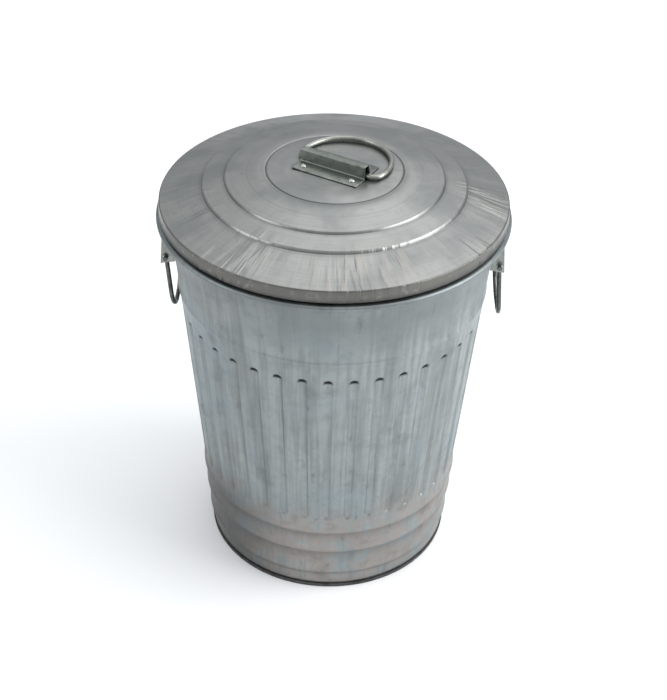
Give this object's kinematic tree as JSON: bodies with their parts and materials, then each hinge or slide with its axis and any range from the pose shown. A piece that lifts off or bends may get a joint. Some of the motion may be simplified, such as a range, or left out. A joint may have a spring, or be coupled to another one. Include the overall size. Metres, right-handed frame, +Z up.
{
  "type": "galvanised waste can",
  "caption": "Tapered galvanised steel waste can with pressed flutes, a loose stepped lid with a carrying ring in a riveted clip, and hinged wire bail handles at the sides.",
  "frame": {"origin": "on the can's axis, at the underside of the base ring", "axes": "+Z up along the can's axis, +X towards one side handle, -Y towards the front of the lid clip"},
  "size_m": [0.46, 0.4596, 0.5941],
  "materials": {
    "galvanised_can": "hot-dip galvanised sheet, dull and streaked",
    "galvanised_lid": "hot-dip galvanised sheet, wiped and slightly creased",
    "dark_foot_steel": "dark, soiled rolled edge",
    "clip_steel": "zinc-plated pressed strip",
    "zinc_wire": "smooth zinc-plated wire",
    "ear_steel": "zinc-plated folded strip",
    "rivet_steel": "bright zinc-plated rivet"
  },
  "bodies": {
    "can": {"body_shell": "galvanised_can", "rim_wire": "zinc_wire", "base_plate": "galvanised_can", "base_ring": "dark_foot_steel", "ear_right_front": "ear_steel", "ear_right_rear": "ear_steel", "ear_left_front": "ear_steel", "ear_left_rear": "ear_steel", "rivet_ear_right_front_lower": "rivet_steel", "rivet_ear_right_front_upper": "rivet_steel", "rivet_ear_right_rear_lower": "rivet_steel", "rivet_ear_right_rear_upper": "rivet_steel", "rivet_ear_left_front_lower": "rivet_steel", "rivet_ear_left_front_upper": "rivet_steel", "rivet_ear_left_rear_lower": "rivet_steel", "rivet_ear_left_rear_upper": "rivet_steel"},
    "lid": {"lid_shell": "galvanised_lid", "lid_clip": "clip_steel", "rivet_clip_front_left": "rivet_steel", "rivet_clip_front_right": "rivet_steel", "rivet_clip_rear_left": "rivet_steel", "rivet_clip_rear_right": "rivet_steel"},
    "ring": {"lid_ring": "zinc_wire"},
    "right_handle": {"side_handle_right": "zinc_wire"},
    "left_handle": {"side_handle_left": "zinc_wire"}
  },
  "joints": [
    {"name": "lid_lift", "type": "slide", "parent": "can", "child": "lid", "axis": [0, 0, 1], "range_m": [0, 0.25]},
    {"name": "lid_ring_hinge", "type": "hinge", "parent": "lid", "child": "ring", "pos_m": [-0.00073, -0.00131, 0.5801], "axis": [0.8738, -0.4863, 0], "range_deg": [0, 178]},
    {"name": "right_handle_hinge", "type": "hinge", "parent": "can", "child": "right_handle", "pos_m": [0.2155, 0, 0.4655], "axis": [0, -1, 0], "range_deg": [-8, 155]},
    {"name": "left_handle_hinge", "type": "hinge", "parent": "can", "child": "left_handle", "pos_m": [-0.2155, 0, 0.4655], "axis": [0, 1, 0], "range_deg": [0, 160]}
  ]
}
